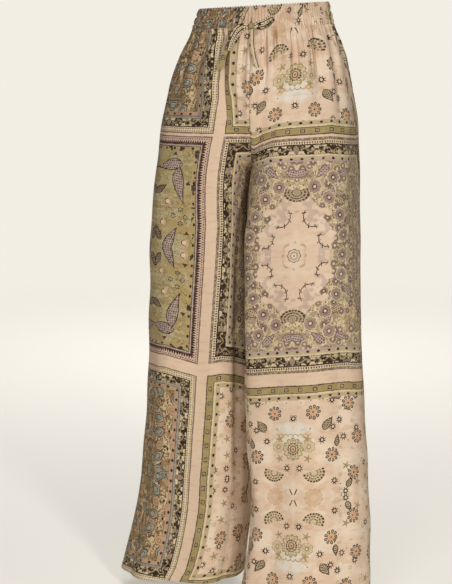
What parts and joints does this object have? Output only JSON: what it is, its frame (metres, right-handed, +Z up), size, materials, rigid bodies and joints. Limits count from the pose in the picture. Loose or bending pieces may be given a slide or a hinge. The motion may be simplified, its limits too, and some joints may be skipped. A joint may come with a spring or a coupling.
{
  "type": "palazzo pants, worn shape",
  "caption": "Wide-leg palazzo pants in soft printed cloth, hollow and shaped as worn, with a gathered elastic waistband and a tied drawstring.",
  "frame": {"origin": "the middle of the waist, halfway up the waistband, where the wearer holds the pants up", "axes": "+Z up, the front faces -Y, +X is the wearer's left"},
  "size_m": [0.4917, 0.3506, 1.0676],
  "materials": {
    "left_leg_print": "soft matt viscose, printed",
    "right_leg_print": "soft matt viscose, printed",
    "waistband_print": "soft matt viscose, gathered",
    "drawstring_cloth": "the same cloth, folded flat"
  },
  "bodies": {
    "root": {"front_left": "left_leg_print", "back_left": "left_leg_print", "front_right": "right_leg_print", "back_right": "right_leg_print", "waistband": "waistband_print", "bow_knot": "drawstring_cloth", "bow_loop_left": "drawstring_cloth", "bow_loop_right": "drawstring_cloth", "bow_tail_left": "drawstring_cloth", "bow_tail_right": "drawstring_cloth"}
  },
  "joints": []
}
